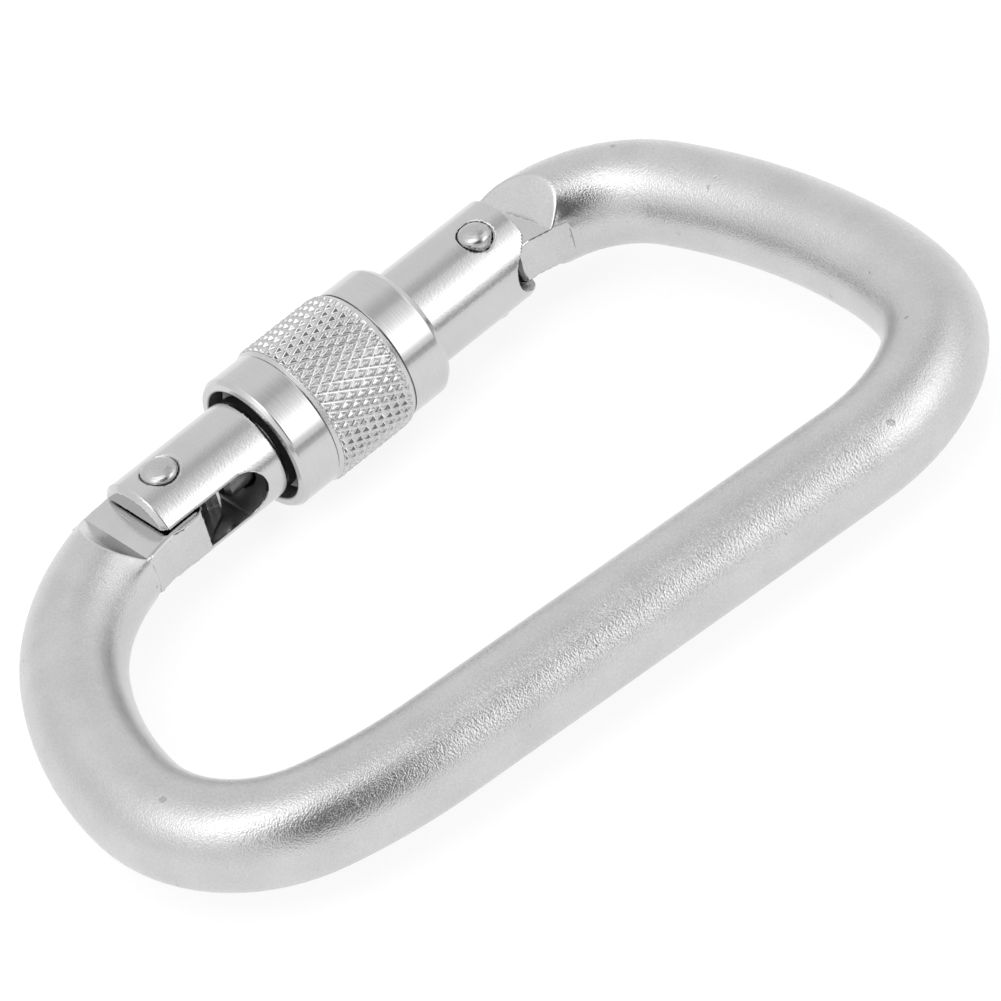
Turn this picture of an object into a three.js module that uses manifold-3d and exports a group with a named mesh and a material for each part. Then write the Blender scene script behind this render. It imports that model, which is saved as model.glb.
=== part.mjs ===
// Screw-lock steel D carabiner, in millimetres, built as separate pieces.
// X runs along the gate from its hinge to its nose, +Y points out of the D through the gate,
// and +Z is square to the flat of the D. The pieces are laid out from the hinge rivet and the
// whole assembly is centred on its bounding box at the end.

import * as THREE from 'three';
import { mergeVertices } from 'three/addons/utils/BufferGeometryUtils.js';
import Module from 'manifold-3d';

const wasm = await Module();
wasm.setup();

// ---------------------------------------------------------------- driving dimensions

const GAP = 0.3;
const CLEAR = 9;
const DEG = Math.PI / 180;

// round bar and its bends, walked from the nose round the spine to the hinge
const BAR_RADIUS = 5.5;
const BAR_SIDES = 28;
const BEND_STEP = 6.5;
const NOSE_STRAIGHT_END = 50.1;
const BENDS = [
  { radius: 14.3, turn: 69.3 },
  { radius: 65.7, turn: 23.3 },
  { radius: 33.0, turn: 12.5 },
  { radius: 14.1, turn: 48.8 },
  { radius: 24.0, turn: 32.1 },
  { run: 52.6 },
  { radius: 58.5, turn: 13.2 },
  { radius: 15.4, turn: 78.1 },
  { radius: 40.4, turn: 26.7 },
  { radius: 25.7, turn: 56.0 },
];

// milled ends of the bar
const FLAT_HALF = 2.5;
const TONGUE_RADIUS = 4.7;
const TONGUE_TIP_TURN = -28;
const TONGUE_SIDE = [
  [3.9, -2.75],
  [2.9, -3.2],
  [1.8, -3.8],
  [1.1, -4.35],
  [0.6, -4.95],
  [0.1, -5.5],
  [-0.5, -5.85],
  [-2.5, -5.8],
  [-3.8, -5.5],
  [-5.7, -5.8],
  [-7.4, -6.15],
];
const TONGUE_FLAT_END = -7.65;
const TONGUE_RAMP_TOP = -10.9;
const NOSE_TIP = 40.4;
const NOSE_FLAT_END = 49.8;
const NOSE_RAMP_TOP = 53.6;
const NOSE_RAMP_TURN = 10;
const NOSE_INNER = 4.1;
const NOSE_INNER_SLOPE_START = 48.0;
const NOSE_INNER_END = 52.5;
const NOSE_INNER_END_Y = -5.4;
const NOTCH_LIP_Y = -3.0;
const NOTCH_PLAY = 0.25;
const NOTCH_LEAD_X = 46.7;
const NOTCH_LEAD_Y = -2.2;
const RIVET_BORE = 1.8;

// gate
const GATE_RADIUS = 5.8;
const GATE_SIDES = 36;
const GATE_HINGE_END = -4.35;
const GATE_NOSE_END = 47.6;
const GATE_HINGE_CHAMFER = 0.55;
const GATE_NOSE_CHAMFER = 0.2;
const SLOT_HALF = 2.8;
const HINGE_SLOT_END = 5.8;
const POCKET_END = 8.45;
const POCKET_DEPTH = 1.0;
const NOSE_SLOT_START = 39.5;
const NOSE_SLOT_FLOOR = -3.7;
const NOSE_CUT_CENTRE = 47.3;
const CHEEK_CHAMFER = 1.3;
const THREAD_START = 10.8;
const THREAD_END = 31.6;
const THREAD_RELIEF = 0.2;
const SPRING_BORE_Y = -1.6;
const SPRING_BORE_RADIUS = 2.0;
const SPRING_BORE_END = 26.0;

// rivets
const HINGE_SHANK = 1.5;
const HINGE_HEAD = 2.0;
const HINGE_HEAD_TOP = 6.25;
const LATCH_X = 43.4;
const LATCH_Y = -1.45;
const LATCH_SHANK = 1.5;
const LATCH_HEAD = 1.85;
const LATCH_HEAD_TOP = 6.35;
const HEAD_SEAT = 4.75;

// plunger and coil spring
const PLUNGER_TIP = 5.05;
const PLUNGER_SHOULDER = 10.0;
const PLUNGER_TAIL = 15.0;
const PLUNGER_RADIUS = 1.65;
const PLUNGER_STEM = 0.7;
const SPRING_WIRE = 0.25;
const SPRING_COIL = 1.3;
const SPRING_TURNS = 9;

// locking sleeve
const SLEEVE_START = 11.3;
const SLEEVE_END = 32.4;
const GRIP_START = 16.2;
const GRIP_END = 27.2;
const REAR_RING_RADIUS = 7.95;
const FRONT_RING_RADIUS = 7.85;
const CORE_RADIUS = 7.2;
const CORE_BORE = 6.15;
const MOUTH_BORE = 6.7;
const MOUTH_DEPTH = 2.0;
const FRONT_BORE = 6.75;
const FRONT_BORE_START = 24.5;
const GRIP_RADIUS = 8.3;
const GRIP_BORE = 7.5;
const FRONT_RING_SEAT = 7.0;

// ---------------------------------------------------------------- solid helpers

function signedVolume(geometry) {
  const position = geometry.attributes.position;
  const index = geometry.index;
  const a = new THREE.Vector3();
  const b = new THREE.Vector3();
  const c = new THREE.Vector3();
  let total = 0;
  for (let i = 0; i < index.count; i += 3) {
    a.fromBufferAttribute(position, index.getX(i));
    b.fromBufferAttribute(position, index.getX(i + 1));
    c.fromBufferAttribute(position, index.getX(i + 2));
    total += a.dot(b.cross(c)) / 6;
  }
  return total;
}

function solid(source) {
  const bare = source.clone();
  bare.deleteAttribute('normal');
  bare.deleteAttribute('uv');
  const geometry = mergeVertices(bare, 1e-4);
  const triVerts = Uint32Array.from(geometry.index.array);
  if (signedVolume(geometry) < 0) {
    for (let i = 0; i < triVerts.length; i += 3) {
      const first = triVerts[i];
      triVerts[i] = triVerts[i + 1];
      triVerts[i + 1] = first;
    }
  }
  const vertProperties = Float32Array.from(geometry.attributes.position.array);
  return new wasm.Manifold(new wasm.Mesh({ numProp: 3, vertProperties, triVerts }));
}

function block(x0, x1, y0, y1, z0, z1) {
  const geometry = new THREE.BoxGeometry(x1 - x0, y1 - y0, z1 - z0);
  geometry.translate((x0 + x1) / 2, (y0 + y1) / 2, (z0 + z1) / 2);
  return solid(geometry);
}

function rodZ(radius, x, y, z0, z1, sides = 24) {
  const geometry = new THREE.CylinderGeometry(radius, radius, z1 - z0, sides);
  geometry.rotateX(Math.PI / 2);
  geometry.translate(x, y, (z0 + z1) / 2);
  return solid(geometry);
}

function rodX(radius, x0, x1, y, z, sides = 24) {
  const geometry = new THREE.CylinderGeometry(radius, radius, x1 - x0, sides);
  geometry.rotateZ(Math.PI / 2);
  geometry.translate((x0 + x1) / 2, y, z);
  return solid(geometry);
}

function rodY(radius, x, z, y0, y1, sides = 24) {
  const geometry = new THREE.CylinderGeometry(radius, radius, y1 - y0, sides);
  geometry.translate(x, (y0 + y1) / 2, z);
  return solid(geometry);
}

// revolved solid about a line parallel to X: profile rows are [x, radius]
function turned(profile, y = 0, z = 0, sides = GATE_SIDES) {
  const points = profile.map(([x, r]) => new THREE.Vector2(r, x));
  const closed = profile[0][1] > 0;
  if (closed) {
    points.push(points[0].clone());
  }
  const geometry = new THREE.LatheGeometry(points, sides);
  geometry.rotateZ(-Math.PI / 2);
  geometry.translate(0, y, z);
  return solid(geometry);
}

// revolved solid about a line parallel to Z: profile rows are [z, radius]
function turnedZ(profile, x, y, sides = 24) {
  const points = profile.map(([z, r]) => new THREE.Vector2(r, z));
  const geometry = new THREE.LatheGeometry(points, sides);
  geometry.rotateX(Math.PI / 2);
  geometry.translate(x, y, 0);
  return solid(geometry);
}

// plate cut from an outline in the XY plane
function plate(outline, z0, z1) {
  const shape = new THREE.Shape(outline.map(([x, y]) => new THREE.Vector2(x, y)));
  const geometry = new THREE.ExtrudeGeometry(shape, { depth: z1 - z0, bevelEnabled: false });
  geometry.translate(0, 0, z0);
  return solid(geometry);
}

// wedge cut from an outline in the XZ plane, running across Y
function wedge(outline, y0, y1, turn = 0, pivotX = 0) {
  const shape = new THREE.Shape(outline.map(([x, z]) => new THREE.Vector2(x, z)));
  const geometry = new THREE.ExtrudeGeometry(shape, { depth: y1 - y0, bevelEnabled: false });
  geometry.rotateX(Math.PI / 2);
  geometry.translate(-pivotX, y1, 0);
  geometry.rotateZ(turn * DEG);
  geometry.translate(pivotX, 0, 0);
  return solid(geometry);
}

function arc(cx, cy, radius, from, to, steps) {
  const points = [];
  for (let i = 0; i <= steps; i += 1) {
    const angle = (from + ((to - from) * i) / steps) * DEG;
    points.push([cx + radius * Math.cos(angle), cy + radius * Math.sin(angle)]);
  }
  return points;
}

// a path through given stations, so that each bend gets the stations it needs
class StationPath extends THREE.Curve {
  constructor(stations) {
    super();
    this.stations = stations;
  }

  getPoint(t, target = new THREE.Vector3()) {
    const last = this.stations.length - 1;
    const place = Math.min(Math.max(t, 0), 1) * last;
    const low = Math.min(Math.floor(place), last - 1);
    return target.copy(this.stations[low]).lerp(this.stations[low + 1], place - low);
  }

  getTangent(t, target = new THREE.Vector3()) {
    const last = this.stations.length - 1;
    const near = Math.round(t * last);
    const before = this.stations[Math.max(near - 1, 0)];
    const after = this.stations[Math.min(near + 1, last)];
    const here = this.stations[near];
    const back = here.clone().sub(before).normalize();
    const ahead = after.clone().sub(here).normalize();
    return target.copy(back).add(ahead).normalize();
  }

  getUtoTmapping(u) {
    return u;
  }
}

function sweep(stations, radius, sides) {
  const ring = new THREE.Shape();
  for (let i = 0; i < sides; i += 1) {
    const angle = (2 * Math.PI * (i + 0.5)) / sides;
    const x = radius * Math.cos(angle);
    const y = radius * Math.sin(angle);
    if (i === 0) {
      ring.moveTo(x, y);
    } else {
      ring.lineTo(x, y);
    }
  }
  ring.closePath();
  const options = {
    steps: stations.length - 1,
    extrudePath: new StationPath(stations),
    bevelEnabled: false,
  };
  return solid(new THREE.ExtrudeGeometry(ring, options));
}

// ---------------------------------------------------------------- frame: one bent bar

function barStations() {
  const stations = [new THREE.Vector3(NOSE_TIP, 0, 0)];
  const here = new THREE.Vector3(NOSE_STRAIGHT_END, 0, 0);
  let heading = 0;
  stations.push(here.clone());
  for (const bend of BENDS) {
    if (bend.run) {
      here.x += bend.run * Math.cos(heading);
      here.y += bend.run * Math.sin(heading);
      stations.push(here.clone());
      continue;
    }
    const count = Math.max(2, Math.round(bend.turn / BEND_STEP));
    const step = (bend.turn * DEG) / count;
    const chord = 2 * bend.radius * Math.sin(step / 2);
    for (let i = 0; i < count; i += 1) {
      here.x += chord * Math.cos(heading - step / 2);
      here.y += chord * Math.sin(heading - step / 2);
      heading -= step;
      stations.push(here.clone());
    }
  }
  return stations;
}

function buildFrame() {
  let bar = sweep(barStations(), BAR_RADIUS, BAR_SIDES);

  // hinge tongue: a flat plate that carries the hinge rivet
  const outline = [
    [-9.5, 4.2],
    [-6.0, 4.6],
    ...arc(0, 0, TONGUE_RADIUS, 95, TONGUE_TIP_TURN, 14),
    ...TONGUE_SIDE,
    [-7.6, -5.0],
    [-9.5, -4.0],
  ];
  bar = bar.add(plate(outline, -FLAT_HALF, FLAT_HALF));

  // milled inner side of the tongue
  const tongueCut = [[6, -2.75], ...TONGUE_SIDE, [-7.4, -12], [6, -12]];
  bar = bar.subtract(plate(tongueCut, -CLEAR, CLEAR));
  const tongueRise = (BAR_RADIUS - FLAT_HALF) / (TONGUE_FLAT_END - TONGUE_RAMP_TOP);
  for (const side of [1, -1]) {
    const cut = [
      [TONGUE_FLAT_END, side * FLAT_HALF],
      [TONGUE_RADIUS * 3, side * FLAT_HALF],
      [TONGUE_RADIUS * 3, side * CLEAR],
      [TONGUE_FLAT_END - (CLEAR - FLAT_HALF) / tongueRise, side * CLEAR],
    ];
    bar = bar.subtract(wedge(side > 0 ? cut : cut.reverse(), -CLEAR, CLEAR));
  }
  bar = bar.subtract(rodZ(RIVET_BORE, 0, 0, -CLEAR, CLEAR));

  // nose: flats, ramps, a milled inner side and the notch that takes the latch pin
  const noseRise = (BAR_RADIUS - FLAT_HALF) / (NOSE_RAMP_TOP - NOSE_FLAT_END);
  for (const side of [1, -1]) {
    const cut = [
      [NOSE_TIP - 3, side * FLAT_HALF],
      [NOSE_FLAT_END, side * FLAT_HALF],
      [NOSE_FLAT_END + (CLEAR - FLAT_HALF) / noseRise, side * CLEAR],
      [NOSE_TIP - 3, side * CLEAR],
    ];
    const loop = side > 0 ? cut : cut.reverse();
    bar = bar.subtract(wedge(loop, -14, CLEAR, NOSE_RAMP_TURN, NOSE_FLAT_END));
  }
  const innerSide = [
    [NOSE_TIP - 3, -12],
    [NOSE_INNER_END, -12],
    [NOSE_INNER_END, NOSE_INNER_END_Y],
    [NOSE_INNER_SLOPE_START, -NOSE_INNER],
    [NOSE_TIP - 3, -NOSE_INNER],
  ];
  bar = bar.subtract(plate(innerSide, -CLEAR, CLEAR));
  const reach = LATCH_SHANK + GAP;
  const notch = [
    [NOSE_TIP - 1, -CLEAR],
    [NOTCH_LEAD_X, -CLEAR],
    [NOTCH_LEAD_X, -NOSE_INNER],
    [LATCH_X + reach, NOTCH_LEAD_Y],
    ...arc(LATCH_X, LATCH_Y, reach, 0, 180, 10),
    [LATCH_X - reach - NOTCH_PLAY, NOTCH_LIP_Y],
    [NOSE_TIP - 1, NOTCH_LIP_Y],
  ];
  bar = bar.subtract(plate(notch, -CLEAR, CLEAR));
  return bar;
}

// ---------------------------------------------------------------- gate

function buildGate() {
  const threadRadius = GATE_RADIUS - THREAD_RELIEF;
  let gate = turned([
    [GATE_HINGE_END, 0],
    [GATE_HINGE_END, GATE_RADIUS - GATE_HINGE_CHAMFER],
    [GATE_HINGE_END + GATE_HINGE_CHAMFER, GATE_RADIUS],
    [THREAD_START, GATE_RADIUS],
    [THREAD_START + THREAD_RELIEF, threadRadius],
    [THREAD_END, threadRadius],
    [THREAD_END + THREAD_RELIEF, GATE_RADIUS],
    [GATE_NOSE_END - GATE_NOSE_CHAMFER, GATE_RADIUS],
    [GATE_NOSE_END, GATE_RADIUS - GATE_NOSE_CHAMFER],
    [GATE_NOSE_END, 0],
  ]);

  // hinge slot right through, then a round-ended pocket on the inner side only
  gate = gate.subtract(block(-CLEAR, HINGE_SLOT_END, -CLEAR, CLEAR, -SLOT_HALF, SLOT_HALF));
  const pocketCentre = POCKET_END - SLOT_HALF;
  gate = gate.subtract(rodY(SLOT_HALF, pocketCentre, 0, -CLEAR, POCKET_DEPTH, 28));

  // blind bore for the spring and plunger
  gate = gate.subtract(
    rodX(SPRING_BORE_RADIUS, HINGE_SLOT_END - 1, SPRING_BORE_END, SPRING_BORE_Y, 0, 24),
  );

  // slot for the nose, open on the outer side, with a floor that is cut through at its very end
  const slotFar = GATE_NOSE_END + 2;
  gate = gate.subtract(
    block(NOSE_SLOT_START, slotFar, NOSE_SLOT_FLOOR, CLEAR, -SLOT_HALF, SLOT_HALF),
  );
  gate = gate.subtract(rodY(SLOT_HALF, NOSE_CUT_CENTRE, 0, -CLEAR, CLEAR, 28));
  gate = gate.subtract(
    block(NOSE_CUT_CENTRE, slotFar, -CLEAR, CLEAR, -SLOT_HALF, SLOT_HALF),
  );
  for (const side of [1, -1]) {
    const corner = [
      [GATE_NOSE_END - CHEEK_CHAMFER, side * (SLOT_HALF - 0.1)],
      [GATE_NOSE_END + 0.5, side * (SLOT_HALF - 0.1)],
      [GATE_NOSE_END + 0.5, side * (SLOT_HALF + CHEEK_CHAMFER + 0.5)],
    ];
    gate = gate.subtract(wedge(side > 0 ? corner : corner.reverse(), -CLEAR, -1));
  }

  // holes and spot faces for the two rivets
  gate = gate.subtract(rodZ(HINGE_SHANK + GAP, 0, 0, -CLEAR, CLEAR));
  gate = gate.subtract(rodZ(LATCH_SHANK + GAP, LATCH_X, LATCH_Y, -CLEAR, CLEAR));
  for (const side of [1, -1]) {
    const low = Math.min(side * HEAD_SEAT, side * CLEAR);
    const high = Math.max(side * HEAD_SEAT, side * CLEAR);
    gate = gate.subtract(rodZ(HINGE_HEAD + GAP, 0, 0, low, high));
    gate = gate.subtract(rodZ(LATCH_HEAD + GAP, LATCH_X, LATCH_Y, low, high));
  }
  return gate;
}

function rivet(x, y, shank, head, top) {
  const seat = HEAD_SEAT + GAP;
  const edge = top - 0.55;
  return turnedZ(
    [
      [-top, 0],
      [-top + 0.12, head * 0.55],
      [-edge, head],
      [-seat, head],
      [-seat, shank],
      [seat, shank],
      [seat, head],
      [edge, head],
      [top - 0.12, head * 0.55],
      [top, 0],
    ],
    x,
    y,
  );
}

function buildPlunger() {
  return turned(
    [
      [PLUNGER_TIP, 0],
      [PLUNGER_TIP, PLUNGER_RADIUS - 0.4],
      [PLUNGER_TIP + 0.4, PLUNGER_RADIUS],
      [PLUNGER_SHOULDER, PLUNGER_RADIUS],
      [PLUNGER_SHOULDER, PLUNGER_STEM],
      [PLUNGER_TAIL, PLUNGER_STEM],
      [PLUNGER_TAIL, 0],
    ],
    SPRING_BORE_Y,
    0,
    20,
  );
}

function buildSpring() {
  const start = PLUNGER_SHOULDER + GAP + SPRING_WIRE;
  const end = SPRING_BORE_END - GAP - SPRING_WIRE;
  const perTurn = 12;
  const count = SPRING_TURNS * perTurn;
  const stations = [];
  for (let i = 0; i <= count; i += 1) {
    const angle = (2 * Math.PI * i) / perTurn;
    const y = SPRING_BORE_Y + SPRING_COIL * Math.cos(angle);
    const z = SPRING_COIL * Math.sin(angle);
    stations.push(new THREE.Vector3(start + ((end - start) * i) / count, y, z));
  }
  return sweep(stations, SPRING_WIRE, 6);
}

// ---------------------------------------------------------------- locking sleeve

function buildSleeveCore() {
  return turned(
    [
      [SLEEVE_START, MOUTH_BORE],
      [SLEEVE_START, REAR_RING_RADIUS - 0.5],
      [SLEEVE_START + 0.5, REAR_RING_RADIUS],
      [GRIP_START - 0.45, REAR_RING_RADIUS],
      [GRIP_START - 0.25, REAR_RING_RADIUS - 0.2],
      [GRIP_START - 0.25, CORE_RADIUS],
      [GRIP_END + 0.2, CORE_RADIUS],
      [GRIP_END + 0.2, FRONT_RING_SEAT],
      [SLEEVE_END - 0.3, FRONT_RING_SEAT],
      [SLEEVE_END - 0.3, FRONT_BORE],
      [FRONT_BORE_START, FRONT_BORE],
      [FRONT_BORE_START - 0.6, CORE_BORE],
      [SLEEVE_START + MOUTH_DEPTH + 0.5, CORE_BORE],
      [SLEEVE_START + MOUTH_DEPTH, MOUTH_BORE],
    ],
    0,
    0,
    40,
  );
}

function buildFrontRing() {
  const bore = FRONT_RING_SEAT + 0.1;
  return turned(
    [
      [GRIP_END + 0.3, bore],
      [GRIP_END + 0.3, FRONT_RING_RADIUS],
      [SLEEVE_END - 0.6, FRONT_RING_RADIUS],
      [SLEEVE_END - 0.15, FRONT_RING_RADIUS - 0.2],
      [SLEEVE_END, FRONT_RING_RADIUS - 0.55],
      [SLEEVE_END, bore],
    ],
    0,
    0,
    40,
  );
}

function buildGrip() {
  const shoulder = 0.45;
  return turned(
    [
      [GRIP_START, GRIP_BORE],
      [GRIP_START, GRIP_RADIUS - shoulder],
      [GRIP_START + shoulder, GRIP_RADIUS],
      [GRIP_END - 0.8, GRIP_RADIUS],
      [GRIP_END, GRIP_RADIUS - 0.5],
      [GRIP_END, GRIP_BORE],
    ],
    0,
    0,
    40,
  );
}

// ---------------------------------------------------------------- assembly

const assembly = new THREE.Group();
assembly.name = 'screw_lock_carabiner';

function addPiece(name, piece, color, roughness) {
  const mesh = piece.getMesh();
  const geometry = new THREE.BufferGeometry();
  geometry.setAttribute('position', new THREE.BufferAttribute(mesh.vertProperties, 3));
  geometry.setIndex(new THREE.BufferAttribute(mesh.triVerts, 1));
  geometry.computeVertexNormals();
  const material = new THREE.MeshStandardMaterial({ color, roughness, metalness: 1 });
  const node = new THREE.Mesh(geometry, material);
  node.name = name;
  assembly.add(node);
}

addPiece('frame_bar', buildFrame(), 0xbfc1c2, 0.42);
addPiece('gate', buildGate(), 0xc6c8c9, 0.34);
addPiece('hinge_rivet', rivet(0, 0, HINGE_SHANK, HINGE_HEAD, HINGE_HEAD_TOP), 0xb4b5b7, 0.35);
addPiece(
  'latch_pin',
  rivet(LATCH_X, LATCH_Y, LATCH_SHANK, LATCH_HEAD, LATCH_HEAD_TOP),
  0xb9babc,
  0.3,
);
addPiece('plunger', buildPlunger(), 0x9fa1a4, 0.35);
addPiece('gate_spring', buildSpring(), 0x8f9194, 0.4);
addPiece('sleeve_core', buildSleeveCore(), 0xc9cbcc, 0.3);
addPiece('sleeve_front_ring', buildFrontRing(), 0xc9cbcc, 0.3);
addPiece('sleeve_grip', buildGrip(), 0xc3c5c6, 0.38);

const bounds = new THREE.Box3();
for (const node of assembly.children) {
  node.geometry.computeBoundingBox();
  bounds.union(node.geometry.boundingBox);
}
const centre = bounds.getCenter(new THREE.Vector3());
for (const node of assembly.children) {
  node.geometry.translate(-centre.x, -centre.y, -centre.z);
}

export default assembly;
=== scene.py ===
"""Screw-lock steel D carabiner: the visual model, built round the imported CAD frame."""

import math

import bpy
import numpy as np
from mathutils import Matrix, Vector


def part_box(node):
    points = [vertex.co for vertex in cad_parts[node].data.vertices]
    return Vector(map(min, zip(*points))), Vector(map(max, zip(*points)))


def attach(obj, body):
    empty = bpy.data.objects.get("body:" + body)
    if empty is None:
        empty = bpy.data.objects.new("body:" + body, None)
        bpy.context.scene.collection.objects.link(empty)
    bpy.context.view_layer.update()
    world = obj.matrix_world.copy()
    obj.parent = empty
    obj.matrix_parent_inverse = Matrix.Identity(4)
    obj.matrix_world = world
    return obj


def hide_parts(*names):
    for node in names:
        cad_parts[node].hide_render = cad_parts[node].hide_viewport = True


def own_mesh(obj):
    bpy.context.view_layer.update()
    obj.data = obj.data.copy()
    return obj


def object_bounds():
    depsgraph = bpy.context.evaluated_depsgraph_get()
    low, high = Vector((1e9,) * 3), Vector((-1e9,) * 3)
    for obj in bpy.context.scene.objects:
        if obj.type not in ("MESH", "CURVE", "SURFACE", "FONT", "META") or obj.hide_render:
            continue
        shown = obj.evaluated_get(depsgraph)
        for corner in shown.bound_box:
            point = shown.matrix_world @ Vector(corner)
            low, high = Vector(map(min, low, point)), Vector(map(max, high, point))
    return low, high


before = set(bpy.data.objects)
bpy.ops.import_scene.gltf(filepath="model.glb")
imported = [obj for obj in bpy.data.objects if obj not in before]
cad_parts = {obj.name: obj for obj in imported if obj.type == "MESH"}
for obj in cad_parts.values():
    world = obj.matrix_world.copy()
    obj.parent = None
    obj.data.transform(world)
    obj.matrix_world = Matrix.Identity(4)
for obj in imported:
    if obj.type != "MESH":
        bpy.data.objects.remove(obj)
cad_low, cad_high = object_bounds()

MM = 0.001
rivet_low, rivet_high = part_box("hinge_rivet")
HINGE = (rivet_low + rivet_high) / 2

# ------------------------------------------------------------------ sizes, in millimetres
# x runs along the gate from the hinge rivet, y points out of the D, z is square to the D

BAR = 5.5
NOSE_TIP = 40.4
NOSE_STRAIGHT_END = 50.1
# radius and turn of each bend, from the nose round to the hinge; no turn means a straight run;
# these numbers came out of a least-squares fit to the bar's outline in the photo
BENDS = [
    (14.3, 69.3),
    (65.7, 23.3),
    (33.0, 12.5),
    (14.1, 48.8),
    (24.0, 32.1),
    (52.6, 0.0),
    (58.5, 13.2),
    (15.4, 78.1),
    (40.4, 26.7),
    (25.7, 56.0),
]
FLAT = 2.5
TONGUE_RADIUS = 4.7
TONGUE_FLAT_END = -7.65
TONGUE_RAMP_TOP = -10.9
NOSE_FLAT_END = 49.8
NOSE_RAMP_TOP = 53.6
NOSE_RAMP_SKEW = math.radians(10)
MILLED_END = -13.0
# the bar's two ends lie on either side of MIDDLE and above GATE_SIDE
MIDDLE = 20.0
GATE_SIDE = -14.0

GATE = 5.8
GATE_HINGE_END = -4.35
GATE_NOSE_END = 47.6
HINGE_END_CHAMFER = 0.55
SLOT = 2.8
HINGE_SLOT_END = 5.8
POCKET_END = 8.45
POCKET_DEPTH = 1.0
NOSE_SLOT_START = 39.5
NOSE_SLOT_FLOOR = -3.7
NOSE_CUT_CENTRE = 47.3
CHEEK_CHAMFER = 1.2
CHEEK_CHAMFER_TOP = -1.0
FAR_CHEEK_ROUND = 1.5
RELIEF_START = 10.8
RELIEF = 0.2
RELIEF_STEP = 0.3
THREAD_START = 13.6
THREAD_END = 31.6
THREAD_PITCH = 1.5
THREAD_DEPTH = 0.5
THREAD_FADE = 0.9
THREAD_FLANK = 3.2
THREAD_CREST = 0.35
BORE_Y = -1.6
BORE_RADIUS = 2.0
BORE_START = 4.5
BORE_END = 26.0

LATCH_X = 43.4
LATCH_Y = -1.45
SHANK = 1.5
HINGE_HEAD = 2.0
HINGE_HEAD_TOP = 6.25
LATCH_HEAD = 1.85
LATCH_HEAD_TOP = 6.35
HINGE_DOME = 0.75
LATCH_DOME = 0.95
FAR_LATCH_TOP = 5.75
FAR_LATCH_DOME = 0.9
SEAT_FLOOR = 4.45
SEAT_GAP = 0.04
SEAT_CHAMFER = 0.3
SHANK_GAP = 0.02

SLEEVE_START = 11.3
SLEEVE_END = 32.4
GRIP_START = 16.2
GRIP_END = 27.2
REAR_RING = 7.95
FRONT_RING = 7.85
CORE = 7.2
CORE_BORE = 6.15
MOUTH_BORE = 6.7
MOUTH_DEPTH = 2.0
FRONT_BORE = 6.75
FRONT_BORE_START = 24.5
GRIP = 8.3
GRIP_BORE = 7.5
GRIP_REAR_DROP = 0.5
GRIP_FRONT_DROP = 0.55
KNURL_TEETH = 44
KNURL_HELIX = math.radians(29)
KNURL_DEPTH = 0.38
KNURL_GROOVE = 0.42
KNURL_GROOVE_FLOOR = 1.1

PLUNGER_TIP = 5.05
PLUNGER_SHOULDER = 10.0
PLUNGER_TAIL = 15.0
PLUNGER = 1.65
PLUNGER_STEM = 0.7
SPRING_WIRE = 0.25
SPRING_COIL = 1.3
SPRING_TURNS = 11
SPRING_ROOM = 0.3

# how far a machined edge is rounded
EDGE = 0.12
SLOT_EDGE = 0.18
PLATE_EDGE = 0.2
END_EDGE = 0.22
TIP_EDGE = 0.5

# spacing of the points that the solids are worked out on
FINE = 0.2
COARSE = 1.2


# ------------------------------------------------------------------ mesh helpers


def to_row(points):
    """Millimetres from the hinge rivet to metres in the row frame."""
    return np.asarray(points, float) * MM + np.array(HINGE)


def make_object(name, points, faces, normals):
    mesh = bpy.data.meshes.new(name)
    mesh.from_pydata(to_row(points).tolist(), [], faces.tolist())
    mesh.validate()
    mesh.update()
    mesh.polygons.foreach_set("use_smooth", [True] * len(mesh.polygons))
    mesh.normals_split_custom_set_from_vertices(normals.tolist())
    piece = bpy.data.objects.new(name, mesh)
    bpy.context.scene.collection.objects.link(piece)
    return piece


def round_max(a, b, radius):
    """Two half spaces cut to one solid, with the edge between them rounded."""
    inner = np.minimum(np.maximum(a, b), -radius)
    return inner + np.hypot(np.maximum(a + radius, 0), np.maximum(b + radius, 0))


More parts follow.
